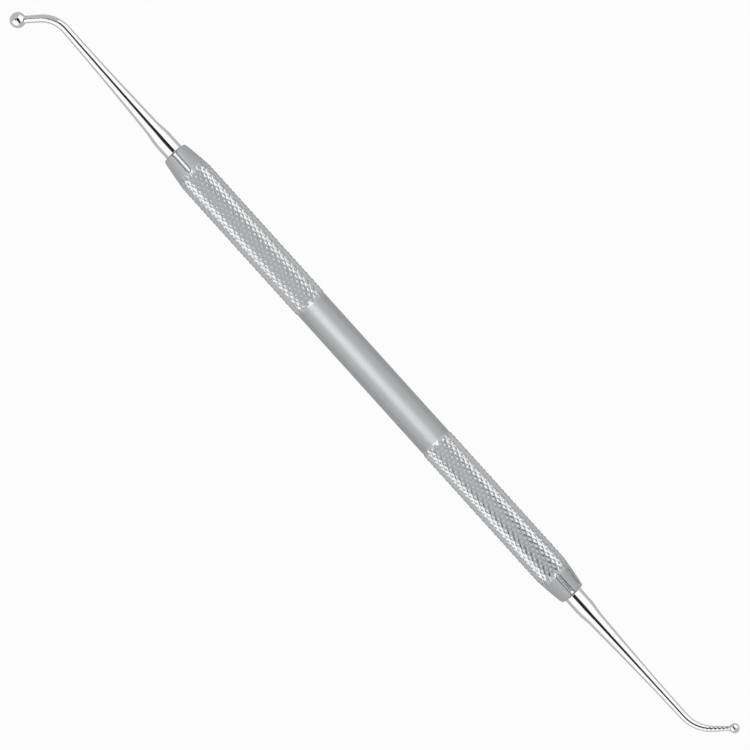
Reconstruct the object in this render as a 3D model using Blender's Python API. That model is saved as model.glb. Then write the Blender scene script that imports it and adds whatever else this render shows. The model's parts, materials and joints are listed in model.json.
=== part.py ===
"""Double-ended dental burnisher: a knurled steel handle with a bent ball tip set in each end.

Lengths are in metres. X runs along the handle from the large ball to the small one and Z is up.
The instrument lies at rest on the plane z = 0, on its knurled bands and on its large ball.
"""
import math
from collections import namedtuple

import bmesh
import bpy
from mathutils import Matrix, Vector

# Handle: a turned bar with a smooth grip between two knurled bands and a taper at each end
HANDLE_LENGTH = 0.1000
GRIP_DIAMETER = 0.00585
GRIP_LENGTH = 0.0310
END_DIAMETER = 0.00458
TAPER_LENGTH = 0.0061
TAPER_BOW = 0.00006          # how far the taper bulges at its middle
END_CORNER_RADIUS = 0.00028
END_CORNER_STEPS = 3
TAPER_STEPS = 4

# Diamond knurl: points and groove crossings take turns, along and around
KNURL_DIAMETER = 0.00617     # over the points
KNURL_DEPTH = 0.00022
KNURL_PITCH = 0.00152        # from point to point along the handle
KNURL_GROOVES = 20           # each way around
PLAIN_END_LENGTH = 0.0048    # from the end face to the first knurl points

# Flutes: rounded slots laid lengthwise on each taper, open at the end face
FLUTES_PER_END = 4
FLUTE_WIDTH = 0.00090
FLUTE_DEPTH = 0.00052
FLUTE_LENGTH = 0.0044
FLUTE_FLOOR_RADIUS = 0.00036
FLUTE_MOUTH_RADIUS = 0.00055
FLUTE_TURN_LARGE_END = math.radians(0)
FLUTE_TURN_SMALL_END = math.radians(3)
FLUTE_ARC_STEPS = 4
FLUTE_FLOOR_STEPS = 3
SIDE_FLUTE_WIDTH = 0.00085   # one shallow flute more, midway between two, at the small end
SIDE_FLUTE_DEPTH = 0.00022
SIDE_FLUTE_FLOOR_RADIUS = 0.00012
CUTTER_MARGIN = 0.0006       # how far a cutter reaches past the faces it opens

# Fit of a tip in the handle
TANG_DIAMETER = 0.0024
TANG_LENGTH = 0.0095
TANG_CHAMFER = 0.0002
FIT_CLEARANCE = 0.00005      # all round the tang, and under the tip's shoulder
SOCKET_END_GAP = 0.0005

# Shank, alike on both tips
ROOT_DIAMETER = 0.00333
ROOT_LENGTH = 0.0027
ROOT_FLARE = 0.0002          # radius of the small fillet against the handle's end face
SHOULDER_LENGTH = 0.0036     # from the full root to the start of the slim taper
SLIM_DIAMETER = 0.00268      # at the start of the slim taper
BALL_FILLET_RADIUS = 0.0005

# What the two tips have of their own
Tip = namedtuple("Tip", "name ball_diameter neck_diameter bend_diameter bend_start bend_radius "
                        "bend_angle lean neck_length outward")
LARGE_TIP = Tip(
    name="large_ball_tip",
    ball_diameter=0.00274,
    neck_diameter=0.00131,       # where it meets the ball
    bend_diameter=0.00154,       # at the start of the bend
    bend_start=0.0276,           # from the handle's end face
    bend_radius=0.0054,
    bend_angle=math.radians(52.7),
    lean=math.radians(0.9),      # how far the shank leans away from the bend
    neck_length=0.0040,          # from the end of the bend to the ball's centre
    outward=-1,
)
SMALL_TIP = Tip(
    name="small_ball_tip",
    ball_diameter=0.00174,
    neck_diameter=0.00088,
    bend_diameter=0.00140,
    bend_start=0.0278,
    bend_radius=0.0062,
    bend_angle=math.radians(52.5),
    lean=math.radians(-0.3),
    neck_length=0.0036,
    outward=1,
)

# Finishes
SATIN_COLOUR = (0.40, 0.405, 0.41)
SATIN_ROUGHNESS = 0.535
POLISHED_COLOUR = (0.94, 0.942, 0.945)
POLISHED_ROUGHNESS = 0.05

# Fineness of the round shapes
TIP_SIDES = 20
ROOT_FLARE_STEPS = 3
SHOULDER_STEPS = 5
SLIM_STEPS = 7
SLIM_POWER = 1.55            # how fast the slim taper levels out towards the bend
BEND_STEPS = 9
NECK_STEPS = 3
BALL_FILLET_STEPS = 3
BALL_STEPS = 9
SMOOTH_ANGLE = math.radians(32)

# Worked out from the sizes above
KNURL_RADIUS = KNURL_DIAMETER / 2
HANDLE_SIDES = 2 * KNURL_GROOVES
END_X = HANDLE_LENGTH / 2
KNURL_OUTER_X = END_X - PLAIN_END_LENGTH
KNURL_INNER_X = GRIP_LENGTH / 2
KNURL_STEPS = round((KNURL_OUTER_X - KNURL_INNER_X) / (KNURL_PITCH / 2))
KNURL_STEP = (KNURL_OUTER_X - KNURL_INNER_X) / KNURL_STEPS
SOCKET_RADIUS = TANG_DIAMETER / 2 + FIT_CLEARANCE
SOCKET_DEPTH = TANG_LENGTH + SOCKET_END_GAP


def clear_scene():
    for old in list(bpy.data.objects):
        bpy.data.objects.remove(old, do_unlink=True)


def steel(name, colour, roughness):
    """A bare steel finish."""
    material = bpy.data.materials.new(name)
    material.use_nodes = True
    shader = material.node_tree.nodes["Principled BSDF"]
    shader.inputs["Base Color"].default_value = (*colour, 1)
    shader.inputs["Metallic"].default_value = 1
    shader.inputs["Roughness"].default_value = roughness
    return material


def add_object(name, bm, material, parent):
    """Turn a finished bmesh into a smooth-shaded object under the parent."""
    mesh = bpy.data.meshes.new(name)
    bmesh.ops.recalc_face_normals(bm, faces=bm.faces)
    bm.to_mesh(mesh)
    bm.free()
    mesh.materials.append(material)
    mesh.shade_smooth()
    mesh.set_sharp_from_angle(angle=SMOOTH_ANGLE)
    obj = bpy.data.objects.new(name, mesh)
    bpy.context.scene.collection.objects.link(obj)
    obj.parent = parent
    return obj


# Handle


def taper_radius(x):
    """Radius of the bar over the knurl points, and of the taper towards an end face."""
    along = (END_X - abs(x)) / TAPER_LENGTH
    if along >= 1:
        return KNURL_RADIUS
    end_radius = END_DIAMETER / 2
    return end_radius + (KNURL_RADIUS - end_radius) * along + 4 * TAPER_BOW * along * (1 - along)


def half_profile():
    """Places and radii of the rings from the edge of the grip to the floor of one socket."""
    rings = [(KNURL_INNER_X - KNURL_STEP / 2, GRIP_DIAMETER / 2)]
    for i in range(KNURL_STEPS + 1):
        x = KNURL_INNER_X + i * KNURL_STEP
        rings.append((x, taper_radius(x)))
    corner_x = END_X - END_CORNER_RADIUS
    plain_x = KNURL_OUTER_X + KNURL_STEP / 2
    for i in range(TAPER_STEPS):
        x = plain_x + (corner_x - plain_x) * i / TAPER_STEPS
        rings.append((x, taper_radius(x)))
    corner_radius = taper_radius(corner_x) - END_CORNER_RADIUS
    for i in range(END_CORNER_STEPS + 1):
        turn = math.radians(90) * i / END_CORNER_STEPS
        x = corner_x + END_CORNER_RADIUS * math.sin(turn)
        rings.append((x, corner_radius + END_CORNER_RADIUS * math.cos(turn)))
    rings.append((END_X, SOCKET_RADIUS))
    rings.append((END_X - SOCKET_DEPTH, SOCKET_RADIUS))
    return rings


def is_groove_crossing(point):
    """Whether a vertex on the outside of the knurled bands lies where two grooves cross."""
    if math.hypot(point.y, point.z) < END_DIAMETER / 2:
        return False
    ring = round((abs(point.x) - KNURL_INNER_X) / KNURL_STEP)
    if ring < 0 or ring > KNURL_STEPS:
        return False
    if abs(abs(point.x) - KNURL_INNER_X - ring * KNURL_STEP) > KNURL_STEP / 4:
        return False
    side = round(math.atan2(point.y, point.z) / math.tau * HANDLE_SIDES)
    return (ring + side) % 2 == 1


def cut_knurl(bm):
    """Sink every second vertex of the knurled bands, and crease the faces along the grooves."""
    crossings = {vert for vert in bm.verts if is_groove_crossing(vert.co)}
    for vert in crossings:
        radius = math.hypot(vert.co.y, vert.co.z)
        sunk = (radius - KNURL_DEPTH) / radius
        vert.co.y *= sunk
        vert.co.z *= sunk
    for face in list(bm.faces):
        corners = [vert for vert in face.verts if vert in crossings]
        if len(face.verts) == 4 and len(corners) == 2:
            if not bm.edges.get(corners):
                bmesh.utils.face_split(face, corners[0], corners[1])


def flute_outline(width, length):
    """Outline of a flute seen from outside: x inwards from the end face, y across."""
    side = width / 2
    quarter = [math.radians(90) * i / FLUTE_ARC_STEPS for i in range(FLUTE_ARC_STEPS + 1)]
    half = [(-CUTTER_MARGIN, side + FLUTE_MOUTH_RADIUS)]
    for turn in quarter:
        x = FLUTE_MOUTH_RADIUS * (1 - math.cos(turn))
        half.append((x, side + FLUTE_MOUTH_RADIUS * (1 - math.sin(turn))))
    for turn in quarter:
        half.append((length - side + side * math.sin(turn), side * math.cos(turn)))
    far_side = [(x, -y) for x, y in reversed(half[:-1])]
    return half + far_side


def add_flute_cutter(name, width, depth, floor_radius, end, turn, collection, parent):
    """A hidden body that cuts one flute, its floor parallel to the taper."""
    bm = bmesh.new()
    outline = [bm.verts.new((x, y, -depth)) for x, y in flute_outline(width, FLUTE_LENGTH)]
    floor = bm.faces.new(outline)
    floor_edges = list(floor.edges)
    grown = bmesh.ops.extrude_face_region(bm, geom=[floor], use_keep_orig=True)
    top = [item for item in grown["geom"] if isinstance(item, bmesh.types.BMVert)]
    bmesh.ops.translate(bm, verts=top, vec=(0, 0, depth + CUTTER_MARGIN))
    bmesh.ops.bevel(bm, geom=floor_edges, offset=floor_radius, segments=FLUTE_FLOOR_STEPS,
                    profile=0.5, affect="EDGES", material=-1)
    rise = taper_radius(END_X - FLUTE_LENGTH) - taper_radius(END_X)
    slope = math.atan2(rise, FLUTE_LENGTH)
    place = (Matrix.Rotation(-turn, 4, "X")
             @ Matrix.Translation((end * END_X, 0, END_DIAMETER / 2))
             @ Matrix.Diagonal((-end, 1, 1, 1))
             @ Matrix.Rotation(-slope, 4, "Y"))
    bmesh.ops.transform(bm, matrix=place, verts=bm.verts)
    cutter = add_object(name, bm, bpy.data.materials["satin_steel"], parent)
    bpy.context.scene.collection.objects.unlink(cutter)
    collection.objects.link(cutter)
    cutter.hide_render = True
    cutter.display_type = "WIRE"


def add_flute_cutters(parent):
    """All flute cutters, in a collection of their own."""
    cutters = bpy.data.collections.new("flute_cutters")
    bpy.context.scene.collection.children.link(cutters)
    between = math.tau / FLUTES_PER_END
    for end, first_turn in ((-1, FLUTE_TURN_LARGE_END), (1, FLUTE_TURN_SMALL_END)):
        for i in range(FLUTES_PER_END):
            name = f"flute_cutter_{'small' if end > 0 else 'large'}_end_{i + 1}"
            add_flute_cutter(name, FLUTE_WIDTH, FLUTE_DEPTH, FLUTE_FLOOR_RADIUS, end,
                             first_turn + i * between, cutters, parent)
    add_flute_cutter("side_flute_cutter", SIDE_FLUTE_WIDTH, SIDE_FLUTE_DEPTH, SIDE_FLUTE_FLOOR_RADIUS,
                     1, FLUTE_TURN_SMALL_END + between / 2, cutters, parent)
    return cutters


def add_handle(parent):
    """Turn the bar about X, knurl it, and cut the flutes."""
    outer = half_profile()
    profile = [(-x, radius) for x, radius in reversed(outer)] + outer
    bm = bmesh.new()
    verts = [bm.verts.new((x, 0, radius)) for x, radius in profile]
    edges = [bm.edges.new(pair) for pair in zip(verts, verts[1:])]
    bmesh.ops.spin(bm, geom=verts + edges, cent=(0, 0, 0), axis=(1, 0, 0), angle=math.tau,
                   steps=HANDLE_SIDES, use_merge=True)
    bmesh.ops.holes_fill(bm, edges=[edge for edge in bm.edges if edge.is_boundary])
    cut_knurl(bm)
    handle = add_object("handle", bm, bpy.data.materials["satin_steel"], parent)
    flutes = handle.modifiers.new("flutes", "BOOLEAN")
    flutes.operation = "DIFFERENCE"
    flutes.solver = "EXACT"
    flutes.operand_type = "COLLECTION"
    flutes.collection = add_flute_cutters(parent)


# Tips


def centre_line(tip, along):
    """Point and heading of a tip's centre line, a distance out from the handle's end face."""
    point = Vector((min(along, ROOT_LENGTH), 0, 0))
    heading = 0
    rest = along - ROOT_LENGTH
    if rest <= 0:
        return point, heading
    heading = -tip.lean
    straight = min(rest, tip.bend_start - ROOT_LENGTH)
    point += straight * Vector((math.cos(heading), math.sin(heading), 0))
    rest -= straight
    if rest <= 0:
        return point, heading
    turn = min(rest / tip.bend_radius, tip.bend_angle + tip.lean)
    sideways = Vector((-math.sin(heading), math.cos(heading), 0))
    centre = point + tip.bend_radius * sideways
    heading += turn
    point = centre + tip.bend_radius * Vector((math.sin(heading), -math.cos(heading), 0))
    rest -= turn * tip.bend_radius
    point += rest * Vector((math.cos(heading), math.sin(heading), 0))
    return point, heading


def ball_distance(tip):
    """Distance along the centre line from the handle's end face to the ball's centre."""
    return tip.bend_start + tip.bend_radius * (tip.bend_angle + tip.lean) + tip.neck_length


def steps_between(start, end, steps):
    """Evenly spaced values after start, up to and with end."""
    return [start + (end - start) * (i + 1) / steps for i in range(steps)]


def tang_rings():
    tang = TANG_DIAMETER / 2
    chamfer_end = TANG_CHAMFER - TANG_LENGTH
    return [(-TANG_LENGTH, tang - TANG_CHAMFER), (chamfer_end, tang), (FIT_CLEARANCE, tang)]


def shank_rings(tip):
    """The root with its fillet at the handle, the shoulder, the slim taper, the bend and the neck."""
    root = ROOT_DIAMETER / 2
    slim = SLIM_DIAMETER / 2
    bend = tip.bend_diameter / 2
    neck = tip.neck_diameter / 2
    rings = []
    for i in range(ROOT_FLARE_STEPS + 1):
        turn = math.radians(90) * i / ROOT_FLARE_STEPS
        along = FIT_CLEARANCE + ROOT_FLARE * (1 - math.cos(turn))
        rings.append((along, root + ROOT_FLARE * (1 - math.sin(turn))))
    rings.append((ROOT_LENGTH, root))
    for share in steps_between(0, 1, SHOULDER_STEPS):
        blend = share * share * (3 - 2 * share)
        rings.append((ROOT_LENGTH + SHOULDER_LENGTH * share, root + (slim - root) * blend))
    slim_start = ROOT_LENGTH + SHOULDER_LENGTH
    for share in steps_between(0, 1, SLIM_STEPS):
        along = slim_start + (tip.bend_start - slim_start) * share
        rings.append((along, bend + (slim - bend) * (1 - share) ** SLIM_POWER))
    bend_end = tip.bend_start + tip.bend_radius * (tip.bend_angle + tip.lean)
    neck_end = ball_distance(tip) - ball_fillet(tip)[0]
    bend_and_neck = steps_between(tip.bend_start, bend_end, BEND_STEPS)
    bend_and_neck += steps_between(bend_end, neck_end, NECK_STEPS)
    for along in bend_and_neck:
        share = (along - tip.bend_start) / (neck_end - tip.bend_start)
        rings.append((along, bend + (neck - bend) * share))
    return rings


def ball_fillet(tip):
    """Distance of the fillet's centre from the ball's centre along the neck, and from the centre line."""
    ball = tip.ball_diameter / 2
    out = tip.neck_diameter / 2 + BALL_FILLET_RADIUS
    return math.sqrt((ball + BALL_FILLET_RADIUS) ** 2 - out ** 2), out


def ball_rings(tip):
    """The fillet from the neck to the ball, and the ball up to its far pole."""
    ball = tip.ball_diameter / 2
    back, out = ball_fillet(tip)
    centre = ball_distance(tip)
    meeting = math.atan2(out, back)
    rings = []
    for turn in steps_between(0, math.radians(90) - meeting, BALL_FILLET_STEPS):
        along = centre - back + BALL_FILLET_RADIUS * math.sin(turn)
        rings.append((along, out - BALL_FILLET_RADIUS * math.cos(turn)))
    for turn in steps_between(meeting, math.pi, BALL_STEPS):
        rings.append((centre - ball * math.cos(turn), ball * math.sin(turn)))
    return rings


def ring_matrix(tip, along, radius):
    """Place of a unit circle that has become a ring of the tip."""
    point, heading = centre_line(tip, along)
    return (Matrix.Translation(point) @ Matrix.Rotation(heading, 4, "Z")
            @ Matrix.Rotation(math.radians(90), 4, "Y") @ Matrix.Scale(radius, 4))


def add_tip(tip, roll, parent):
    """Draw a circle out along the centre line, from the end of the tang to the pole of the ball."""
    rings = tang_rings() + shank_rings(tip) + ball_rings(tip)
    bm = bmesh.new()
    place = ring_matrix(tip, *rings[0])
    bmesh.ops.create_circle(bm, cap_ends=True, radius=1, segments=TIP_SIDES, matrix=place)
    edges = list(bm.edges)
    for along, radius in rings[1:-1]:
        grown = bmesh.ops.extrude_edge_only(bm, edges=edges)["geom"]
        edges = [item for item in grown if isinstance(item, bmesh.types.BMEdge)]
        verts = [item for item in grown if isinstance(item, bmesh.types.BMVert)]
        next_place = ring_matrix(tip, along, radius)
        bmesh.ops.transform(bm, matrix=next_place @ place.inverted(), verts=verts)
        place = next_place
    grown = bmesh.ops.extrude_edge_only(bm, edges=edges)["geom"]
    last_ring = [item for item in grown if isinstance(item, bmesh.types.BMVert)]
    pole = centre_line(tip, rings[-1][0])[0]
    bmesh.ops.pointmerge(bm, verts=last_ring, merge_co=pole)
    obj = add_object(tip.name, bm, bpy.data.materials["polished_steel"], parent)
    obj.location = (tip.outward * END_X, 0, 0)
    turned = math.pi if tip.outward < 0 else 0
    obj.rotation_euler = (tip.outward * roll, 0, turned)


# Lying at rest


def resting_roll():
    """Roll about the handle that brings the large ball down to the plane the handle lies on."""
    offset = centre_line(LARGE_TIP, ball_distance(LARGE_TIP))[0].y
    return math.asin((KNURL_RADIUS - LARGE_TIP.ball_diameter / 2) / offset)


def resting_place(roll):
    """Place of the handle's middle that puts the origin under the middle of the whole instrument."""
    reach = {}
    for tip in (LARGE_TIP, SMALL_TIP):
        ball = tip.ball_diameter / 2
        centre = centre_line(tip, ball_distance(tip))[0]
        reach[tip.outward] = (END_X + centre.x + ball, centre.y * math.cos(roll) + ball)
    return (reach[-1][0] - reach[1][0]) / 2, (reach[-1][1] - reach[1][1]) / 2, KNURL_RADIUS


def build():
    clear_scene()
    steel("satin_steel", SATIN_COLOUR, SATIN_ROUGHNESS)
    steel("polished_steel", POLISHED_COLOUR, POLISHED_ROUGHNESS)
    roll = resting_roll()
    instrument = bpy.data.objects.new("instrument", None)
    bpy.context.scene.collection.objects.link(instrument)
    instrument.location = resting_place(roll)
    add_handle(instrument)
    add_tip(LARGE_TIP, roll, instrument)
    add_tip(SMALL_TIP, roll, instrument)


build()
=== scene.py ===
"""Looks of the double-ended dental burnisher, laid out as an add-on and run as a script.

Lengths are in metres. X runs along the handle from the large ball to the small one and Z is up.
"""
import json
import math

import bmesh
import bpy
from bpy.props import FloatProperty, FloatVectorProperty, IntProperty, PointerProperty
from bpy.types import Operator, Panel, PropertyGroup
from mathutils import Matrix, Vector

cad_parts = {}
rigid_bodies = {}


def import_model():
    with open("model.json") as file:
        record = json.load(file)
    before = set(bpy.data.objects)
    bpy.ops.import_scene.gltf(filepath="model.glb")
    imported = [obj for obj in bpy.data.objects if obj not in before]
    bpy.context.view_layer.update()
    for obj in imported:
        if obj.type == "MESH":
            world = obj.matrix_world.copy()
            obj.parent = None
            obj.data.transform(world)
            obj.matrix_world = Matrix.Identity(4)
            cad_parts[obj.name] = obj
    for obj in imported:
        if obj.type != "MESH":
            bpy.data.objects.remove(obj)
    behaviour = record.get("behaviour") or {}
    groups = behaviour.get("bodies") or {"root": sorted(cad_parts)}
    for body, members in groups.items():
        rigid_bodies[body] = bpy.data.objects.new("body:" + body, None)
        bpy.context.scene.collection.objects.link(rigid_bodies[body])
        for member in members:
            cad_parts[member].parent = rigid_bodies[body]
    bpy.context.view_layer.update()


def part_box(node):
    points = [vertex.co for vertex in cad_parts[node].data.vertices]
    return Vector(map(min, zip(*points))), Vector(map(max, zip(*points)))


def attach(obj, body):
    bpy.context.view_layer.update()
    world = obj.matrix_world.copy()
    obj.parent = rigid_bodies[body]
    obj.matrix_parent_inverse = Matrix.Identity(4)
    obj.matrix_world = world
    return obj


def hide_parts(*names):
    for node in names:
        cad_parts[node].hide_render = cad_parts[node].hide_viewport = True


bl_info = {
    "name": "Dental burnisher",
    "version": (1, 0, 0),
    "blender": (4, 5, 0),
    "location": "3D View > Sidebar > Burnisher",
    "description": "Builds the detailed handle and tips of a dental burnisher, their steel and a studio",
    "category": "Add Mesh",
}

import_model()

# Fineness of the meshes
HANDLE_ROUND_CUTS = 2        # extra points between two knurl rows where the handle is smooth
END_CORNER_STEPS = 5
TAPER_RINGS = 12
KNURL_WALL_STEPS = 6
FLUTE_ARC_STEPS = 8
FLUTE_FLOOR_STEPS = 5
TIP_SIDES = 56
ROOT_FLARE_RINGS = 6
SHOULDER_RINGS = 18
SLIM_RINGS = 40
MARKED_RING_GAP = 0.00006    # between rings along the bend and the neck, where the spiral marks are
BALL_FILLET_RINGS = 8
BALL_RINGS = 28
SMOOTH_ANGLE = math.radians(24)
NEAR = 1e-7

RING_REACH = 0.25            # how far off a knurl ring its points may lie, in steps between rings
DIP_FROM = 0.25              # share of a flute's depth from which its mouth dips
SUNK_FROM = 0.1              # share of the knurl's depth from which a face counts as cut
SEAT_GAP = 0.00001           # keeps a tip's shoulder off the handle's end face
MARKS_START = 0.45           # share of the bend after which the spiral marks begin
MARKS_FADE = 0.25            # length over which they end before the ball, in neck diameters

# Face attributes of the handle that its steel reads
FACE_MARKS = ("knurl", "flute", "dull_end")

# Patterns in the steel. Scales are in cells per metre, bump heights in metres.
GRAIN_SCALE = 9000
GRAIN_STRENGTH = 0.12
GRAIN_HEIGHT = 0.00001
CLOUD_SCALE = 260
CLOUD_IN_COLOUR = 0.05       # how far the clouds lighten and darken the satin colour
CLOUD_IN_ROUGHNESS = 0.06
LINE_SCALES = (900, 14000, 14000)    # fine lines, drawn out along the handle
LINES_IN_ROUGHNESS = 0.05
HAZE_SCALE = 500
HAZE_EDGES = (0.45, 0.75)    # where the haze on the polished steel starts and is full
HAZE_IN_ROUGHNESS = 0.04
POLISH_SCALE = 16000
POLISH_STRENGTH = 0.03
POLISH_HEIGHT = 0.000004

# Stage, round the instrument
FLOOR_HALF_SIZE = (2, 2)
FLOOR_COLOUR = (0.6, 0.6, 0.6, 1)
FLOOR_CAMERA_SHARE = 0.96    # plain white in what the camera sees of the floor; the rest has shadow
CARD_COLOUR = (0.05, 0.05, 0.05, 1)
DARK_CARDS = (               # name, half size, middle, turn about Z
    ("dark_card", (0.135, 0.039), (0, 0, 0.12), math.radians(-8)),
    ("neck_card", (0.022, 0.03), (-0.14, -0.052, 0.12), math.radians(52.7)),
)
SIDE_PANEL_SIZE = (0.4, 0.287)
SIDE_PANEL_DISTANCE = 0.205
SIDE_PANEL_TILT = math.radians(53)   # from straight above
HANDLE_PANELS = (            # name, start and end along X; the small end's taper reflects the gap
    ("handle_panel_1", -0.3, 0.058),
    ("handle_panel_2", 0.092, 0.3),
)
HANDLE_PANEL_WIDTH = 0.081
HANDLE_PANEL_Y = -0.006
HANDLE_PANEL_Z = 0.1
REFLECTOR_SIZE = (0.3, 0.1)
REFLECTOR_HEIGHT = 0.0002


# Sizes, finishes and studio, as a user would set them


def length(name, description, default):
    return FloatProperty(name=name, description=description, default=default, min=0, precision=6,
                         unit="LENGTH", subtype="DISTANCE")


def angle(name, description, default):
    return FloatProperty(name=name, description=description, default=math.radians(default),
                         unit="ROTATION", subtype="ANGLE")


def share(name, description, default):
    return FloatProperty(name=name, description=description, default=default, min=0, max=1,
                         subtype="FACTOR")


def colour(name, description, default):
    return FloatVectorProperty(name=name, description=description, default=default, min=0, max=1,
                               size=3, subtype="COLOR")


class HandleSizes(PropertyGroup):
    whole: length("Length", "From end face to end face", 0.1)
    grip_diameter: length("Grip diameter", "Diameter of the smooth middle", 0.00585)
    grip_length: length("Grip length", "Length of the smooth middle", 0.031)
    end_diameter: length("End diameter", "Diameter at the end faces", 0.00458)
    taper_length: length("Taper length", "Length of each tapered end", 0.0061)
    taper_bow: length("Taper bow", "How far a taper bulges at its middle", 0.00006)
    corner_radius: length("End corner radius", "Rounding of the rim of each end face", 0.00028)
    plain_end: length("Plain end", "From an end face to where the knurl has run out", 0.00404)
    socket_diameter: length("Socket diameter", "Bore that takes a tip's tang", 0.0025)
    socket_depth: length("Socket depth", "Depth of the bore", 0.01)


class KnurlSizes(PropertyGroup):
    diameter: length("Diameter", "Over the points", 0.00617)
    depth: length("Depth", "Depth of the grooves", 0.00027)
    pitch: length("Pitch", "From point to point along the handle", 0.00152)
    bulge: FloatProperty(name="Bulge", description="Form of a point: 1 is a plain pyramid, 2 is rounded",
                         default=1.5, min=1, max=2)
    grooves: IntProperty(name="Grooves", description="Number of grooves each way around",
                         default=20, min=6)


class FluteSizes(PropertyGroup):
    per_end: IntProperty(name="Flutes per end", description="Deep flutes around each taper",
                         default=4, min=1)
    width: length("Width", "Width of a flute", 0.0009)
    depth: length("Depth", "Depth of a flute", 0.00052)
    reach: length("Length", "From the end face to the rounded far end", 0.00436)
    floor_radius: length("Floor radius", "Rounding along the foot of the walls", 0.00036)
    mouth_radius: length("Mouth radius", "Rounding where a flute opens at the end face", 0.00055)
    mouth_length: length("Mouth length", "Part of the floor that dips towards the end face", 0.00048)
    mouth_slope: angle("Mouth slope", "How steeply the floor dips there", 11)
    large_end_turn: angle("Turn at the large tip", "Place of the first flute around", -3.2)
    small_end_turn: angle("Turn at the small tip", "Place of the first flute around", 3.2)
    side_width: length("Side flute width", "Width of the shallow flute at the small end", 0.00085)
    side_depth: length("Side flute depth", "Depth of the shallow flute", 0.00022)
    side_floor_radius: length("Side flute floor radius", "Rounding in the shallow flute", 0.00012)


class ShankSizes(PropertyGroup):
    root_diameter: length("Root diameter", "Diameter next to the handle", 0.00333)
    root_length: length("Root length", "Length at full diameter", 0.0027)
    root_flare: length("Root flare", "Radius of the fillet at the handle", 0.0002)
    shoulder_length: length("Shoulder length", "From the root to the slim taper", 0.0036)
    slim_diameter: length("Slim diameter", "At the start of the slim taper", 0.00268)
    slim_power: FloatProperty(name="Slim power", description="How fast the slim taper levels out",
                              default=1.55, min=1)
    tang_diameter: length("Tang diameter", "Part hidden in the handle", 0.0024)
    tang_length: length("Tang length", "Part hidden in the handle", 0.0095)
    ball_fillet: length("Ball fillet", "Radius between the neck and the ball", 0.0005)
    mark_pitch: length("Mark pitch", "From turn to turn of the spiral marks on a neck", 0.00072)
    mark_depth: length("Mark depth", "Depth of the spiral marks", 0.00003)


def tip_annotations(ball, neck, bend, start, radius, turn, lean, neck_length):
    """Sizes that the two tips have of their own."""
    return {
        "ball_diameter": length("Ball diameter", "Diameter of the ball", ball),
        "neck_diameter": length("Neck diameter", "Where the neck meets the ball", neck),
        "bend_diameter": length("Bend diameter", "At the start of the bend", bend),
        "bend_start": length("Bend start", "From the handle's end face", start),
        "bend_radius": length("Bend radius", "Radius of the centre line", radius),
        "bend_angle": angle("Bend angle", "Angle between the neck and the handle", turn),
        "lean": angle("Lean", "How far the shank leans away from the bend", lean),
        "neck_length": length("Neck length", "From the bend to the ball's centre", neck_length),
    }


class LargeTipSizes(PropertyGroup):
    __annotations__ = tip_annotations(0.00274, 0.00131, 0.00154, 0.0276, 0.0054, 52.7, 0.9, 0.004)


class SmallTipSizes(PropertyGroup):
    __annotations__ = tip_annotations(0.00174, 0.00088, 0.0014, 0.0278, 0.0062, 52.5, -0.3, 0.0036)


class SteelFinish(PropertyGroup):
    satin_colour: colour("Satin colour", "Colour of the satin grip", (0.4, 0.405, 0.41))
    satin_roughness: share("Satin roughness", "Roughness of the satin grip", 0.45)
    end_colour: colour("End colour", "Colour of the plain skin of the tapered ends", (0.45, 0.455, 0.46))
    end_roughness: share("End roughness", "Roughness of that skin", 0.72)
    cut_colour: colour("Cut colour", "Colour of the knurl and the flutes", (0.45, 0.455, 0.46))
    knurl_roughness: share("Knurl roughness", "Roughness of the knurl", 0.2)
    flute_roughness: share("Flute roughness", "Roughness of the flutes", 0.24)
    polished_colour: colour("Polished colour", "Colour of the polished tips", (0.94, 0.942, 0.945))
    polished_roughness: share("Polished roughness", "Roughness of the polished tips", 0.05)


class StudioSettings(PropertyGroup):
    view_width: length("View width", "Width of what the camera sees", 0.126225)
    view_turn: angle("View turn", "Turn of the camera about the vertical", 47.9274)
    view_shift: length("View shift", "From the handle's middle to the picture's, along X", 0.000365)
    camera_height: length("Camera height", "Above the handle's axis", 1.0)
    side_light: FloatProperty(name="Side light", description="Brightness of the two side panels",
                              default=0.54, min=0)
    top_light: FloatProperty(name="Top light", description="Brightness of the panels over the handle",
                             default=2.0, min=0)
    floor_light: FloatProperty(name="Floor light", description="Brightness of the panel under the handle",
                               default=0.25, min=0)
    sky_share: share("Sky share", "Share of the white surroundings that lights and shows in metal", 0.5)
    floor_share: share("Floor share", "Share of the white floor that shows in metal", 0.1)


class BurnisherSettings(PropertyGroup):
    handle: PointerProperty(type=HandleSizes)
    knurl: PointerProperty(type=KnurlSizes)
    flutes: PointerProperty(type=FluteSizes)
    shank: PointerProperty(type=ShankSizes)
    large_tip: PointerProperty(type=LargeTipSizes)
    small_tip: PointerProperty(type=SmallTipSizes)
    steel: PointerProperty(type=SteelFinish)
    studio: PointerProperty(type=StudioSettings)


# Node trees written as Python


class Value:
    """A socket of a node tree that can stand in sums."""

    def __init__(self, shader, socket):
        self.shader = shader
        self.socket = socket

    def combine(self, operation, first, second):
        return self.shader.node("ShaderNodeMath", {"operation": operation}, {0: first, 1: second})

    def __add__(self, other):
        return self.combine("ADD", self, other)

    def __radd__(self, other):
        return self.combine("ADD", other, self)

    def __sub__(self, other):
        return self.combine("SUBTRACT", self, other)

    def __rsub__(self, other):
        return self.combine("SUBTRACT", other, self)

    def __mul__(self, other):
        return self.combine("MULTIPLY", self, other)

    def __rmul__(self, other):
        return self.combine("MULTIPLY", other, self)


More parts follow.
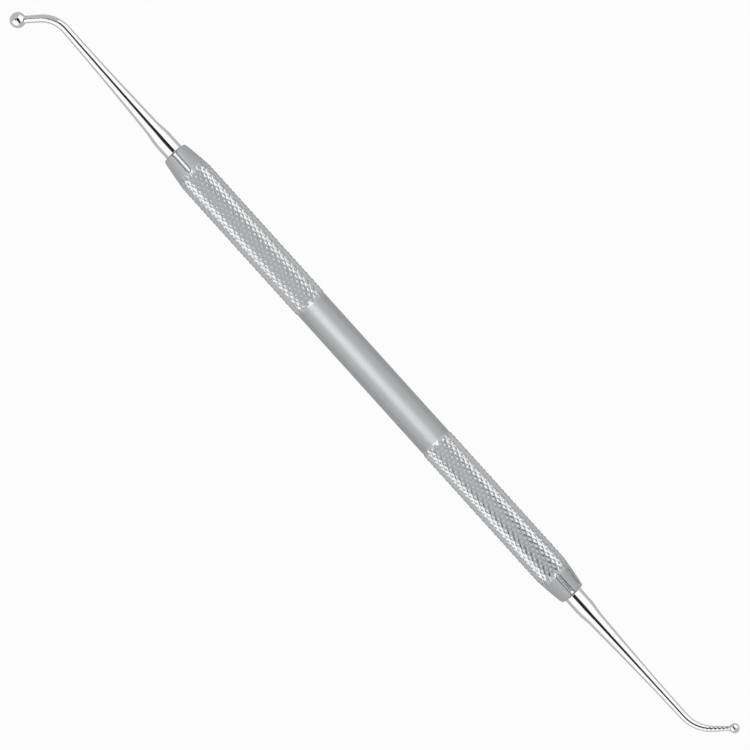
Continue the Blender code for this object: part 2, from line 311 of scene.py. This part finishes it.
class Shader:
    """The node tree of a material or a world."""

    def __init__(self, owner):
        owner.use_nodes = True
        self.tree = owner.node_tree

    def node(self, kind, settings, inputs, output=0):
        """Add a node, set it up, fill or link its sockets, and give one of its outputs."""
        node = self.tree.nodes.new(kind)
        for name, setting in settings.items():
            setattr(node, name, setting)
        self.fill(node, inputs)
        return Value(self, node.outputs[output])

    def fill(self, node, inputs):
        for key, value in inputs.items():
            if isinstance(value, Value):
                self.tree.links.new(value.socket, node.inputs[key])
            else:
                node.inputs[key].default_value = value

    def mix(self, factor, first, second):
        """Blend two colours."""
        settings = {"data_type": "RGBA", "clamp_factor": True}
        mixed = {"Factor": factor, 6: self.solid(first), 7: self.solid(second)}
        return self.node("ShaderNodeMix", settings, mixed, 2)

    def solid(self, tone):
        return tone if isinstance(tone, Value) else (*tone, 1)

    def noise(self, place, scale, detail):
        inputs = {"Vector": place, "Scale": scale, "Detail": detail}
        return self.node("ShaderNodeTexNoise", {}, inputs)

    def ramp(self, factor, low, high):
        """Smooth step from 0 at low to 1 at high."""
        inputs = {"Value": factor, "From Min": low, "From Max": high}
        return self.node("ShaderNodeMapRange", {"interpolation_type": "SMOOTHSTEP"}, inputs)


# Handle


def taper_radius(x):
    """Radius of the plain bar, before knurling: straight, then tapered to the end face."""
    sizes = bpy.context.scene.burnisher.handle
    full = bpy.context.scene.burnisher.knurl.diameter / 2
    along = (sizes.whole / 2 - abs(x)) / sizes.taper_length
    if along >= 1:
        return full
    end = sizes.end_diameter / 2
    return end + (full - end) * along + 4 * sizes.taper_bow * along * (1 - along)


def knurled_radius(x, below):
    """Radius of a point of the knurl that lies so far below its crests, where the taper leaves it."""
    return min(bpy.context.scene.burnisher.knurl.diameter / 2 - below, taper_radius(x))


def knurl_rings():
    """Places along the handle of the rings of knurl points of one band, from the grip outwards."""
    settings = bpy.context.scene.burnisher
    inner = settings.handle.grip_length / 2
    outer = settings.handle.whole / 2 - settings.handle.plain_end
    steps = round((outer - inner) / (settings.knurl.pitch / 2))
    return [inner + (outer - inner) * i / steps for i in range(steps + 1)]


def handle_profile():
    """Places and radii of the rings from the middle of the grip to the floor of one socket."""
    settings = bpy.context.scene.burnisher
    sizes = settings.handle
    band = knurl_rings()
    grip = sizes.grip_diameter / 2
    rings = [(0, grip), (band[0], grip)]
    rings += [(x, knurled_radius(x, settings.knurl.depth)) for x in band[1:-1]]
    rings.append((band[-1], taper_radius(band[-1])))
    end = sizes.whole / 2
    corner = end - sizes.corner_radius
    for i in range(1, TAPER_RINGS):
        x = band[-1] + (corner - band[-1]) * i / TAPER_RINGS
        rings.append((x, taper_radius(x)))
    rim = taper_radius(corner) - sizes.corner_radius
    for i in range(END_CORNER_STEPS + 1):
        turn = math.radians(90) * i / END_CORNER_STEPS
        x = corner + sizes.corner_radius * math.sin(turn)
        rings.append((x, rim + sizes.corner_radius * math.cos(turn)))
    rings.append((end, sizes.socket_diameter / 2))
    rings.append((end - sizes.socket_depth, sizes.socket_diameter / 2))
    return rings


def turn_bar():
    """Spin the profile of the whole handle about X."""
    outer = handle_profile()
    profile = [(-x, radius) for x, radius in reversed(outer[1:])] + outer
    bm = bmesh.new()
    first = bm.verts.new((profile[0][0], 0, profile[0][1]))
    last = first
    for before, after in zip(profile, profile[1:]):
        last = bmesh.ops.extrude_vert_indiv(bm, verts=[last])["verts"][0]
        bmesh.ops.translate(bm, verts=[last], vec=(after[0] - before[0], 0, after[1] - before[1]))
    sides = 2 * bpy.context.scene.burnisher.knurl.grooves
    bmesh.ops.spin(bm, geom=list(bm.verts) + list(bm.edges), cent=(0, 0, 0), axis=(1, 0, 0),
                   angle=math.tau, steps=sides, use_merge=True)
    bmesh.ops.holes_fill(bm, edges=[edge for edge in bm.edges if edge.is_boundary])
    bmesh.ops.recalc_face_normals(bm, faces=bm.faces)
    return bm


def band_place(vert, band):
    """Number of a vertex's ring in its knurled band and of its row around, or nothing outside."""
    step = band[1] - band[0]
    ring = round((abs(vert.co.x) - band[0]) / step)
    off = abs(abs(vert.co.x) - band[0] - ring * step)
    outside = math.hypot(vert.co.y, vert.co.z) > bpy.context.scene.burnisher.handle.end_diameter / 2
    if not outside or off > step * RING_REACH or ring < 0 or ring >= len(band):
        return None
    sides = 2 * bpy.context.scene.burnisher.knurl.grooves
    return ring, round(math.atan2(vert.co.y, vert.co.z) / math.tau * sides)


def set_radius(vert, radius):
    now = math.hypot(vert.co.y, vert.co.z)
    vert.co.y *= radius / now
    vert.co.z *= radius / now


def raise_knurl(bm):
    """Draw the crossing grooves over the bands and raise a rounded diamond between them."""
    knurl = bpy.context.scene.burnisher.knurl
    band = knurl_rings()
    places = {vert: band_place(vert, band) for vert in bm.verts}
    crossings = [vert for vert, place in places.items() if place and sum(place) % 2 == 1]
    peaks = [vert for vert, place in places.items()
             if place and sum(place) % 2 == 0 and 0 < place[0] < len(band) - 1]
    bmesh.ops.connect_verts(bm, verts=crossings)
    crossing_set = set(crossings)
    bmesh.ops.dissolve_verts(bm, verts=peaks)
    diamonds = [face for face in bm.faces
                if len(face.verts) == 4 and all(vert in crossing_set for vert in face.verts)]
    along = band[1] - band[0]
    around = math.pi * knurl.diameter / (2 * knurl.grooves)
    wall = along * around / math.hypot(along, around)
    for i in range(1, KNURL_WALL_STEPS):
        bmesh.ops.inset_individual(bm, faces=diamonds, thickness=wall / KNURL_WALL_STEPS,
                                   use_even_offset=True)
        below = knurl.depth * (1 - i / KNURL_WALL_STEPS) ** knurl.bulge
        for vert in {vert for face in diamonds for vert in face.verts}:
            set_radius(vert, knurled_radius(vert.co.x, below))
    for vert in bmesh.ops.poke(bm, faces=diamonds)["verts"]:
        set_radius(vert, knurled_radius(vert.co.x, 0))


def round_smooth_parts(bm):
    """Add points around the grip, the tapers, the ends and the sockets, on their true circles."""
    band = knurl_rings()
    socket = bpy.context.scene.burnisher.handle.socket_diameter / 2
    radius = bm.verts.layers.float.new("radius")
    for vert in bm.verts:
        vert[radius] = math.hypot(vert.co.y, vert.co.z)
    around = []
    for edge in bm.edges:
        first, second = edge.verts
        along = abs(first.co.x - second.co.x)
        in_band = band[0] + NEAR < abs(first.co.x) < band[-1] - NEAR and first[radius] > socket + NEAR
        if max(along, abs(first[radius] - second[radius])) < NEAR and not in_band:
            around.append(edge)
    cut = bmesh.ops.subdivide_edges(bm, edges=around, cuts=HANDLE_ROUND_CUTS)
    for item in cut["geom_inner"]:
        if isinstance(item, bmesh.types.BMVert):
            set_radius(item, item[radius])
    bm.verts.layers.float.remove(radius)


def draw_arc(bm, vert, centre, turn, steps):
    """Spin one vertex into an arc and give the vertex at its end."""
    drawn = bmesh.ops.spin(bm, geom=[vert], cent=(*centre, vert.co.z), axis=(0, 0, 1), angle=turn,
                           steps=steps)
    return next(item for item in drawn["geom_last"] if isinstance(item, bmesh.types.BMVert))


def draw_line(bm, vert, end):
    drawn = bmesh.ops.extrude_vert_indiv(bm, verts=[vert])["verts"][0]
    drawn.co = (*end, vert.co.z)
    return drawn


def flute_outline(bm, width, depth):
    """Draw a flute as seen from above, with its mouth past the end face, as a face at its full depth."""
    sizes = bpy.context.scene.burnisher.flutes
    side = width / 2
    mouth = sizes.mouth_radius
    quarter = math.radians(90)
    start = bm.verts.new((-mouth, side + mouth, -depth))
    pen = draw_line(bm, start, (0, side + mouth))
    pen = draw_arc(bm, pen, (mouth, side + mouth), quarter, FLUTE_ARC_STEPS)
    pen = draw_line(bm, pen, (sizes.reach - side, side))
    pen = draw_arc(bm, pen, (sizes.reach - side, 0), -2 * quarter, 2 * FLUTE_ARC_STEPS)
    pen = draw_line(bm, pen, (mouth, -side))
    pen = draw_arc(bm, pen, (mouth, -side - mouth), quarter, FLUTE_ARC_STEPS)
    pen = draw_line(bm, pen, (-mouth, -side - mouth))
    bmesh.ops.contextual_create(bm, geom=[start, pen])
    bmesh.ops.remove_doubles(bm, verts=bm.verts, dist=NEAR)
    return bmesh.ops.contextual_create(bm, geom=list(bm.edges))["faces"][0]


def dip_mouth(bm, depth):
    """Let the floor of a flute fall away towards the end face."""
    sizes = bpy.context.scene.burnisher.flutes
    bmesh.ops.bisect_plane(bm, geom=list(bm.verts) + list(bm.edges) + list(bm.faces),
                           plane_co=(sizes.mouth_length, 0, 0), plane_no=(1, 0, 0))
    for vert in bm.verts:
        if vert.co.x < sizes.mouth_length and vert.co.z < -depth * DIP_FROM:
            vert.co.z -= (sizes.mouth_length - vert.co.x) * math.tan(sizes.mouth_slope)


def flute_place(end, turn):
    """Place on the bar of a flute that is drawn along X from the end face, with its top at Z 0."""
    settings = bpy.context.scene.burnisher
    half = settings.handle.whole / 2
    rise = taper_radius(half - settings.flutes.reach) - taper_radius(half)
    slope = math.atan2(rise, settings.flutes.reach)
    return (Matrix.Rotation(-turn, 4, "X")
            @ Matrix.Translation((end * half, 0, settings.handle.end_diameter / 2))
            @ Matrix.Diagonal((-end, 1, 1, 1))
            @ Matrix.Rotation(-slope, 4, "Y"))


def flute_cutter(width, depth, floor_radius, end, turn):
    """A body that cuts one flute: drawn flat, raised, rounded along its foot, and set in place."""
    bm = bmesh.new()
    floor = flute_outline(bm, width, depth)
    foot = list(floor.edges)
    grown = bmesh.ops.extrude_face_region(bm, geom=[floor], use_keep_orig=True)
    top = [item for item in grown["geom"] if isinstance(item, bmesh.types.BMVert)]
    above = bpy.context.scene.burnisher.flutes.mouth_radius
    bmesh.ops.translate(bm, verts=top, vec=(0, 0, depth + above))
    bmesh.ops.bevel(bm, geom=foot, offset=floor_radius, segments=FLUTE_FLOOR_STEPS, profile=0.5,
                    affect="EDGES", material=-1)
    dip_mouth(bm, depth)
    bmesh.ops.transform(bm, matrix=flute_place(end, turn), verts=bm.verts)
    bmesh.ops.recalc_face_normals(bm, faces=bm.faces)
    return bm


def flute_cutters():
    """The cutters of all flutes, as objects in a collection."""
    sizes = bpy.context.scene.burnisher.flutes
    between = math.tau / sizes.per_end
    cuts = []
    for end, first in ((-1, sizes.large_end_turn), (1, sizes.small_end_turn)):
        for i in range(sizes.per_end):
            turn = first + i * between
            cuts.append(flute_cutter(sizes.width, sizes.depth, sizes.floor_radius, end, turn))
    side_turn = sizes.small_end_turn + between / 2
    cuts.append(flute_cutter(sizes.side_width, sizes.side_depth, sizes.side_floor_radius, 1, side_turn))
    collection = bpy.data.collections.new("flute_cutters")
    bpy.context.scene.collection.children.link(collection)
    for i, bm in enumerate(cuts):
        mesh = bpy.data.meshes.new(f"flute_cutter_{i + 1}")
        bm.to_mesh(mesh)
        bm.free()
        collection.objects.link(bpy.data.objects.new(mesh.name, mesh))
    return collection


def cut_flutes(bar):
    """Take the flutes out of the bar and throw the cutters away."""
    cutters = flute_cutters()
    taken = bar.modifiers.new("flutes", "BOOLEAN")
    taken.operation = "DIFFERENCE"
    taken.solver = "EXACT"
    taken.operand_type = "COLLECTION"
    taken.collection = cutters
    evaluated = bar.evaluated_get(bpy.context.evaluated_depsgraph_get())
    cut = bpy.data.meshes.new_from_object(evaluated)
    bar.modifiers.remove(taken)
    bar.data = cut
    for cutter in list(cutters.objects):
        bpy.data.objects.remove(cutter, do_unlink=True)
    bpy.data.collections.remove(cutters)


def mark_finishes(mesh):
    """Note on each face what it belongs to, where that isn't the satin skin: 1 there, 0 elsewhere."""
    settings = bpy.context.scene.burnisher
    half = settings.handle.whole / 2
    band = knurl_rings()
    marks = {name: mesh.attributes.new(name, "FLOAT", "FACE") for name in FACE_MARKS}
    for face in mesh.polygons:
        x = abs(face.center.x)
        radius = math.hypot(face.center.y, face.center.z)
        below = taper_radius(x) - radius
        sunk = below > settings.knurl.depth * SUNK_FROM
        if x > band[-1]:
            at_face = x > half - settings.handle.corner_radius
            deep = below > settings.handle.corner_radius and x < half - NEAR
            kind = "flute" if deep or sunk and not at_face else "dull_end"
        elif x > band[0] and (sunk or x < half - settings.handle.taper_length):
            kind = "knurl"
        else:
            continue
        marks[kind].data[face.index].value = 1


def finish_piece(mesh, name, material, node):
    """Shade a mesh, make it the piece that stands for a node, and let it ride on the body."""
    mesh.shade_smooth()
    mesh.set_sharp_from_angle(angle=SMOOTH_ANGLE)
    mesh.materials.clear()
    mesh.materials.append(material)
    piece = bpy.data.objects.new(name, mesh)
    bpy.context.scene.collection.objects.link(piece)
    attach(piece, "root")
    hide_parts(node)


def handle_middle():
    low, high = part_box("handle")
    return (low + high) / 2


class BURNISHER_OT_add_handle(Operator):
    """Add the turned, knurled and fluted handle."""

    bl_idname = "burnisher.add_handle"
    bl_label = "Add handle"

    def execute(self, context):
        bm = turn_bar()
        raise_knurl(bm)
        round_smooth_parts(bm)
        bmesh.ops.recalc_face_normals(bm, faces=bm.faces)
        mesh = bpy.data.meshes.new("handle_bar")
        bm.to_mesh(mesh)
        bm.free()
        bar = bpy.data.objects.new("handle_bar", mesh)
        context.scene.collection.objects.link(bar)
        cut_flutes(bar)
        mesh = bar.data
        bpy.data.objects.remove(bar)
        mark_finishes(mesh)
        mesh.transform(Matrix.Translation(handle_middle()))
        finish_piece(mesh, "satin_handle", satin_steel(), "handle")
        return {"FINISHED"}


# Tips


def centre_line(tip, along):
    """Point and heading of a tip's centre line, a distance out from the handle's end face."""
    root = bpy.context.scene.burnisher.shank.root_length
    point = Vector((min(along, root), 0, 0))
    heading = 0
    rest = along - root
    if rest <= 0:
        return point, heading
    heading = -tip.lean
    straight = min(rest, tip.bend_start - root)
    point += straight * Vector((math.cos(heading), math.sin(heading), 0))
    rest -= straight
    if rest <= 0:
        return point, heading
    turn = min(rest / tip.bend_radius, tip.bend_angle + tip.lean)
    sideways = Vector((-math.sin(heading), math.cos(heading), 0))
    centre = point + tip.bend_radius * sideways
    heading += turn
    point = centre + tip.bend_radius * Vector((math.sin(heading), -math.cos(heading), 0))
    rest -= turn * tip.bend_radius
    point += rest * Vector((math.cos(heading), math.sin(heading), 0))
    return point, heading


def bend_end(tip):
    return tip.bend_start + tip.bend_radius * (tip.bend_angle + tip.lean)


def ball_distance(tip):
    """Distance along the centre line from the handle's end face to the ball's centre."""
    return bend_end(tip) + tip.neck_length


def ball_fillet(tip):
    """Distance of the fillet's centre from the ball's centre along the neck, and from the centre line."""
    fillet = bpy.context.scene.burnisher.shank.ball_fillet
    out = tip.neck_diameter / 2 + fillet
    return math.sqrt((tip.ball_diameter / 2 + fillet) ** 2 - out ** 2), out


def steps_between(start, end, steps):
    """Evenly spaced values after start, up to and with end."""
    return [start + (end - start) * (i + 1) / steps for i in range(steps)]


def shank_rings(tip):
    """Places and radii of the rings from the end of the tang to the start of the ball's fillet."""
    sizes = bpy.context.scene.burnisher.shank
    tang = sizes.tang_diameter / 2
    root = sizes.root_diameter / 2
    slim = sizes.slim_diameter / 2
    bend = tip.bend_diameter / 2
    neck = tip.neck_diameter / 2
    rings = [(-sizes.tang_length, tang - sizes.root_flare), (sizes.root_flare - sizes.tang_length, tang),
             (SEAT_GAP, tang), (SEAT_GAP, root + sizes.root_flare)]
    for turn in steps_between(0, math.radians(90), ROOT_FLARE_RINGS):
        along = SEAT_GAP + sizes.root_flare * (1 - math.cos(turn))
        rings.append((along, root + sizes.root_flare * (1 - math.sin(turn))))
    rings.append((sizes.root_length, root))
    for part in steps_between(0, 1, SHOULDER_RINGS):
        blend = part * part * (3 - 2 * part)
        rings.append((sizes.root_length + sizes.shoulder_length * part, root + (slim - root) * blend))
    slim_start = sizes.root_length + sizes.shoulder_length
    for part in steps_between(0, 1, SLIM_RINGS):
        along = slim_start + (tip.bend_start - slim_start) * part
        rings.append((along, bend + (slim - bend) * (1 - part) ** sizes.slim_power))
    neck_end = ball_distance(tip) - ball_fillet(tip)[0]
    marked = round((neck_end - tip.bend_start) / MARKED_RING_GAP)
    for part in steps_between(0, 1, marked):
        along = tip.bend_start + (neck_end - tip.bend_start) * part
        rings.append((along, bend + (neck - bend) * part))
    return rings


def ball_rings(tip):
    """The fillet from the neck to the ball, and the ball up to its far pole."""
    fillet = bpy.context.scene.burnisher.shank.ball_fillet
    ball = tip.ball_diameter / 2
    back, out = ball_fillet(tip)
    centre = ball_distance(tip)
    meeting = math.atan2(out, back)
    rings = []
    for turn in steps_between(0, math.radians(90) - meeting, BALL_FILLET_RINGS):
        rings.append((centre - back + fillet * math.sin(turn), out - fillet * math.cos(turn)))
    for turn in steps_between(meeting, math.pi, BALL_RINGS):
        rings.append((centre - ball * math.cos(turn), ball * math.sin(turn)))
    return rings


def mark_fade(tip, along):
    """Strength of the spiral marks: none on the slim taper, full on the neck."""
    full = bend_end(tip)
    start = tip.bend_start + (full - tip.bend_start) * MARKS_START
    end = ball_distance(tip) - ball_fillet(tip)[0]
    rising = min(max((along - start) / (full - start), 0), 1)
    falling = min(max((end - along) / (tip.neck_diameter * MARKS_FADE), 0), 1)
    return rising * falling


def ring_matrix(tip, along, radius):
    """Place of a unit circle that has become a ring of the tip."""
    point, heading = centre_line(tip, along)
    return (Matrix.Translation(point) @ Matrix.Rotation(heading, 4, "Z")
            @ Matrix.Rotation(math.radians(90), 4, "Y") @ Matrix.Scale(radius, 4))


def mark_ring(tip, along, verts):
    """Press the spiral marks into one ring."""
    sizes = bpy.context.scene.burnisher.shank
    strength = mark_fade(tip, along)
    if strength == 0:
        return
    point, heading = centre_line(tip, along)
    sideways = Vector((-math.sin(heading), math.cos(heading), 0))
    for vert in verts:
        out = vert.co - point
        around = math.atan2(out.z, out.dot(sideways)) / math.tau
        wave = math.cos(math.tau * (along / sizes.mark_pitch + around))
        vert.co -= out.normalized() * sizes.mark_depth * strength * (0.5 - 0.5 * wave)


def tip_mesh(tip, name):
    """Draw a circle out along the centre line, from the end of the tang to the pole of the ball."""
    rings = shank_rings(tip) + ball_rings(tip)
    bm = bmesh.new()
    place = ring_matrix(tip, *rings[0])
    bmesh.ops.create_circle(bm, cap_ends=True, radius=1, segments=TIP_SIDES, matrix=place)
    edges = list(bm.edges)
    marks = []
    for along, radius in rings[1:-1]:
        grown = bmesh.ops.extrude_edge_only(bm, edges=edges)["geom"]
        edges = [item for item in grown if isinstance(item, bmesh.types.BMEdge)]
        verts = [item for item in grown if isinstance(item, bmesh.types.BMVert)]
        next_place = ring_matrix(tip, along, radius)
        bmesh.ops.transform(bm, matrix=next_place @ place.inverted(), verts=verts)
        place = next_place
        marks.append((along, verts))
    grown = bmesh.ops.extrude_edge_only(bm, edges=edges)["geom"]
    last_ring = [item for item in grown if isinstance(item, bmesh.types.BMVert)]
    bmesh.ops.pointmerge(bm, verts=last_ring, merge_co=centre_line(tip, rings[-1][0])[0])
    for along, verts in marks:
        mark_ring(tip, along, verts)
    bmesh.ops.recalc_face_normals(bm, faces=bm.faces)
    mesh = bpy.data.meshes.new(name)
    bm.to_mesh(mesh)
    bm.free()
    return mesh


def resting_roll():
    """Roll about the handle that brings the large ball down to the plane the handle lies on."""
    settings = bpy.context.scene.burnisher
    tip = settings.large_tip
    offset = centre_line(tip, ball_distance(tip))[0].y
    return math.asin((settings.knurl.diameter / 2 - tip.ball_diameter / 2) / offset)


class BURNISHER_OT_add_tips(Operator):
    """Add the polished tips with the large and the small ball."""

    bl_idname = "burnisher.add_tips"
    bl_label = "Add tips"

    def execute(self, context):
        settings = context.scene.burnisher
        steel = polished_steel()
        half = settings.handle.whole / 2
        for tip, node, outward in ((settings.large_tip, "large_ball_tip", -1),
                                   (settings.small_tip, "small_ball_tip", 1)):
            mesh = tip_mesh(tip, node)
            turned = math.pi if outward < 0 else 0
            mesh.transform(Matrix.Translation(handle_middle())
                           @ Matrix.Translation((outward * half, 0, 0))
                           @ Matrix.Rotation(turned, 4, "Z")
                           @ Matrix.Rotation(outward * resting_roll(), 4, "X"))
            finish_piece(mesh, f"polished_{node}", steel, node)
        return {"FINISHED"}


# Steel


def satin_steel():
    """Satin skin with a fine grain, duller on the tapered ends and smoother in the knurl and flutes."""
    finish = bpy.context.scene.burnisher.steel
    material = bpy.data.materials.new("satin_steel")
    shader = Shader(material)
    place = shader.node("ShaderNodeTexCoord", {}, {}, "Object")
    knurl, flute, end = (shader.node("ShaderNodeAttribute", {"attribute_name": name}, {}, "Fac")
                         for name in FACE_MARKS)
    grain = shader.noise(place, GRAIN_SCALE, 2)
    cloud = shader.noise(place, CLOUD_SCALE, 3)
    drawn = shader.node("ShaderNodeMapping", {}, {"Vector": place, "Scale": LINE_SCALES})
    lines = shader.noise(drawn, 1, 2)
    skin = shader.mix(cloud, [tone * (1 - CLOUD_IN_COLOUR) for tone in finish.satin_colour],
                      [min(tone * (1 + CLOUD_IN_COLOUR), 1) for tone in finish.satin_colour])
    tone = shader.mix(knurl + flute, shader.mix(end, skin, finish.end_colour), finish.cut_colour)
    rough = (finish.satin_roughness + (cloud - 0.5) * CLOUD_IN_ROUGHNESS
             + (lines - 0.5) * LINES_IN_ROUGHNESS)
    for mark, roughness in ((knurl, finish.knurl_roughness), (flute, finish.flute_roughness),
                            (end, finish.end_roughness)):
        rough = rough + mark * (roughness - finish.satin_roughness)
    bump = shader.node("ShaderNodeBump", {},
                       {"Strength": GRAIN_STRENGTH, "Distance": GRAIN_HEIGHT, "Height": grain})
    principled = material.node_tree.nodes["Principled BSDF"]
    shader.fill(principled, {"Base Color": tone, "Metallic": 1.0, "Roughness": rough, "Normal": bump})
    return material


def polished_steel():
    """Mirror-polished steel with faint polishing lines."""
    finish = bpy.context.scene.burnisher.steel
    material = bpy.data.materials.new("polished_steel")
    shader = Shader(material)
    place = shader.node("ShaderNodeTexCoord", {}, {}, "Object")
    haze = shader.noise(place, HAZE_SCALE, 3)
    lines = shader.noise(place, POLISH_SCALE, 2)
    rough = finish.polished_roughness + shader.ramp(haze, *HAZE_EDGES) * HAZE_IN_ROUGHNESS
    bump = shader.node("ShaderNodeBump", {},
                       {"Strength": POLISH_STRENGTH, "Distance": POLISH_HEIGHT, "Height": lines})
    principled = material.node_tree.nodes["Principled BSDF"]
    tone = (*finish.polished_colour, 1)
    shader.fill(principled, {"Base Color": tone, "Metallic": 1.0, "Roughness": rough, "Normal": bump})
    return material


# Studio


def add_panel(name, middle, aim, width, height, brightness):
    """A flat soft light that shines from its middle towards a point, at a plain brightness."""
    light = bpy.data.lights.new(name, "AREA")
    light.shape = "RECTANGLE"
    light.size = width
    light.size_y = height
    light.energy = brightness * math.pi * width * height
    panel = bpy.data.objects.new(name, light)
    bpy.context.scene.collection.objects.link(panel)
    panel.location = middle
    panel.rotation_euler = (Vector(aim) - Vector(middle)).to_track_quat("-Z", "Y").to_euler()
    panel.visible_camera = False
    return panel


def add_plane(name, half_size, place, material):
    """A flat rectangle that belongs to the stage."""
    bm = bmesh.new()
    place = place @ Matrix.Diagonal((*half_size, 1, 1))
    bmesh.ops.create_grid(bm, x_segments=1, y_segments=1, size=1, matrix=place)
    mesh = bpy.data.meshes.new(name)
    bm.to_mesh(mesh)
    bm.free()
    mesh.materials.append(material)
    plane = bpy.data.objects.new(name, mesh)
    bpy.context.scene.collection.objects.link(plane)
    return plane


def seen_share(shader, camera_share, metal_share):
    """How much of the white surroundings a ray sees: most from the camera, less in metal."""
    path = shader.node("ShaderNodeLightPath", {}, {}, "Is Camera Ray")
    kinds = path.socket.node.outputs
    glossy = Value(shader, kinds["Is Glossy Ray"])
    through = Value(shader, kinds["Is Transmission Ray"])
    return path * camera_share + (glossy + through) * metal_share


def floor_material():
    """Pale floor that keeps the shadow."""
    studio = bpy.context.scene.burnisher.studio
    material = bpy.data.materials.new("pale_floor")
    shader = Shader(material)
    tree = material.node_tree
    tree.nodes.remove(tree.nodes["Principled BSDF"])
    plain = shader.node("ShaderNodeBsdfDiffuse", {}, {"Color": FLOOR_COLOUR})
    white = shader.node("ShaderNodeEmission", {}, {"Color": (1, 1, 1, 1), "Strength": 1.0})
    factor = seen_share(shader, FLOOR_CAMERA_SHARE, studio.floor_share)
    mixed = shader.node("ShaderNodeMixShader", {}, {0: factor, 1: plain, 2: white})
    shader.fill(tree.nodes["Material Output"], {"Surface": mixed})
    return material


def dark_card_material():
    material = bpy.data.materials.new("dark_card")
    shader = Shader(material)
    principled = material.node_tree.nodes["Principled BSDF"]
    shader.fill(principled, {"Base Color": CARD_COLOUR, "Roughness": 1.0, "Specular IOR Level": 0.0})
    return material


def add_dark_cards():
    """Cards overhead that only reflections show. They draw the dark line along the polished steel."""
    material = dark_card_material()
    for name, half_size, middle, turn in DARK_CARDS:
        place = Matrix.Translation(middle) @ Matrix.Rotation(turn, 4, "Z")
        card = add_plane(name, half_size, place, material)
        card.visible_camera = False
        card.visible_diffuse = False
        card.visible_shadow = False


def add_side_panels():
    """A soft light on each side, which also makes the white bands in the polished steel."""
    studio = bpy.context.scene.burnisher.studio
    out = SIDE_PANEL_DISTANCE * math.sin(SIDE_PANEL_TILT)
    up = SIDE_PANEL_DISTANCE * math.cos(SIDE_PANEL_TILT)
    for name, side in (("left_panel", -1), ("right_panel", 1)):
        add_panel(name, (0, side * out, up), (0, 0, 0), *SIDE_PANEL_SIZE, studio.side_light)


def add_handle_panels():
    """Light over and under the handle. It leaves out the tips, where it would hide the dark line."""
    studio = bpy.context.scene.burnisher.studio
    handle_only = bpy.data.collections.new("lit_by_handle_panels")
    handle_only.objects.link(bpy.data.objects["satin_handle"])
    panels = []
    for name, start, end in HANDLE_PANELS:
        x = (start + end) / 2
        panels.append(add_panel(name, (x, HANDLE_PANEL_Y, HANDLE_PANEL_Z), (x, HANDLE_PANEL_Y, 0),
                                end - start, HANDLE_PANEL_WIDTH, studio.top_light))
    panels.append(add_panel("handle_reflector", (0, 0, REFLECTOR_HEIGHT), (0, 0, 1),
                            *REFLECTOR_SIZE, studio.floor_light))
    for panel in panels:
        panel.light_linking.receiver_collection = handle_only


def set_world():
    """White surroundings for the camera, grey ones for light and reflections."""
    studio = bpy.context.scene.burnisher.studio
    world = bpy.data.worlds.new("studio")
    shader = Shader(world)
    background = world.node_tree.nodes["Background"]
    factor = seen_share(shader, 1.0 - studio.sky_share, 0.0) + studio.sky_share
    shader.fill(background, {"Color": (1, 1, 1, 1), "Strength": factor})
    bpy.context.scene.world = world


def set_camera():
    """Look straight down on the handle, from far away, as the photo does."""
    studio = bpy.context.scene.burnisher.studio
    camera = bpy.data.cameras.new("camera")
    camera.lens = camera.sensor_width * studio.camera_height / studio.view_width
    eye = bpy.data.objects.new("camera", camera)
    bpy.context.scene.collection.objects.link(eye)
    eye.location = handle_middle() + Vector((studio.view_shift, 0, studio.camera_height))
    eye.rotation_euler = (0, 0, studio.view_turn)
    bpy.context.scene.camera = eye


class BURNISHER_OT_set_stage(Operator):
    """Set up the floor, the lights and the camera."""

    bl_idname = "burnisher.set_stage"
    bl_label = "Set stage"

    def execute(self, context):
        add_plane("floor", FLOOR_HALF_SIZE, Matrix.Identity(4), floor_material())
        add_dark_cards()
        add_side_panels()
        add_handle_panels()
        set_world()
        set_camera()
        context.scene.view_settings.view_transform = "Standard"
        return {"FINISHED"}


class BURNISHER_PT_panel(Panel):
    """Sidebar list of what can be added and changed."""

    bl_idname = "BURNISHER_PT_panel"
    bl_label = "Dental burnisher"
    bl_space_type = "VIEW_3D"
    bl_region_type = "UI"
    bl_category = "Burnisher"

    def draw(self, context):
        for operator in OPERATORS:
            self.layout.operator(operator.bl_idname)
        settings = context.scene.burnisher
        for group in settings.bl_rna.properties:
            if group.type != "POINTER":
                continue
            box = self.layout.box()
            box.label(text=group.identifier.replace("_", " ").capitalize())
            sizes = getattr(settings, group.identifier)
            for prop in sizes.bl_rna.properties:
                if prop.identifier not in ("rna_type", "name"):
                    box.prop(sizes, prop.identifier)


OPERATORS = (BURNISHER_OT_add_handle, BURNISHER_OT_add_tips, BURNISHER_OT_set_stage)
CLASSES = (HandleSizes, KnurlSizes, FluteSizes, ShankSizes, LargeTipSizes, SmallTipSizes, SteelFinish,
           StudioSettings, BurnisherSettings, *OPERATORS, BURNISHER_PT_panel)


def register():
    for item in CLASSES:
        bpy.utils.register_class(item)
    bpy.types.Scene.burnisher = PointerProperty(type=BurnisherSettings)


def unregister():
    del bpy.types.Scene.burnisher
    for item in reversed(CLASSES):
        bpy.utils.unregister_class(item)


def main():
    register()
    bpy.ops.burnisher.add_handle()
    bpy.ops.burnisher.add_tips()
    bpy.ops.burnisher.set_stage()


if __name__ == "__main__":
    main()
